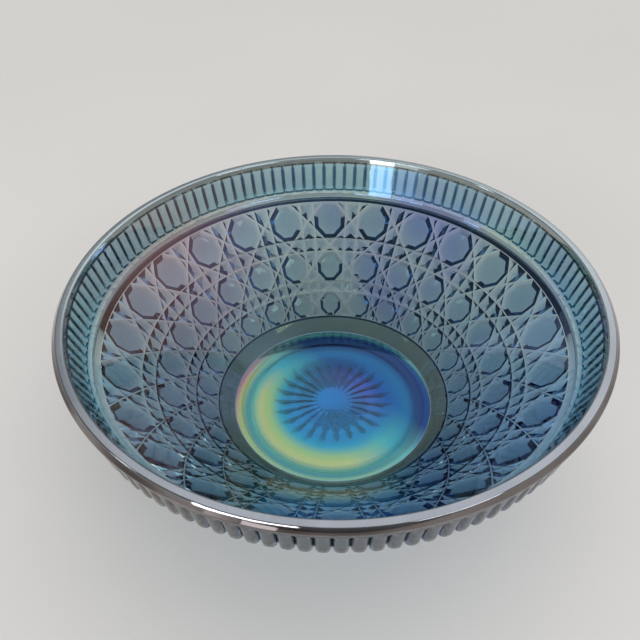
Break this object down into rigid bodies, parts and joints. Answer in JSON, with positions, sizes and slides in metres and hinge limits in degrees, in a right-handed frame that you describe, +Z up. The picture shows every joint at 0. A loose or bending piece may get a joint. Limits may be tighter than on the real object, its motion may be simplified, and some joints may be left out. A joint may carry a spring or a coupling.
{
  "type": "carnival glass bowl",
  "caption": "Round flared bowl of pressed blue carnival glass with a smooth lip, a ribbed collar, rows of eight-sided buttons in cane work, a rayed star base and a foot ring.",
  "frame": {"origin": "centre of the foot ring's resting face", "axes": "+Z up along the bowl's axis; a column of buttons is centred on +X and on +Y"},
  "size_m": [0.258, 0.258, 0.088],
  "materials": {
    "rim_glass": "smooth fire-polished glass with a silvery lustre",
    "pattern_glass": "clear blue glass, pressed pattern, thin iridescent lustre",
    "base_glass": "strong blue, cyan and gold iridescent lustre"
  },
  "bodies": {
    "root": {"rim_lip": "rim_glass", "fluted_collar": "pattern_glass", "divider_ring": "pattern_glass", "upper_button_row": "pattern_glass", "upper_cane_strip": "pattern_glass", "middle_button_row": "pattern_glass", "lower_cane_strip": "pattern_glass", "lower_button_row": "pattern_glass", "heel_ring": "pattern_glass", "star_base": "base_glass", "foot_ring": "base_glass"}
  },
  "joints": []
}
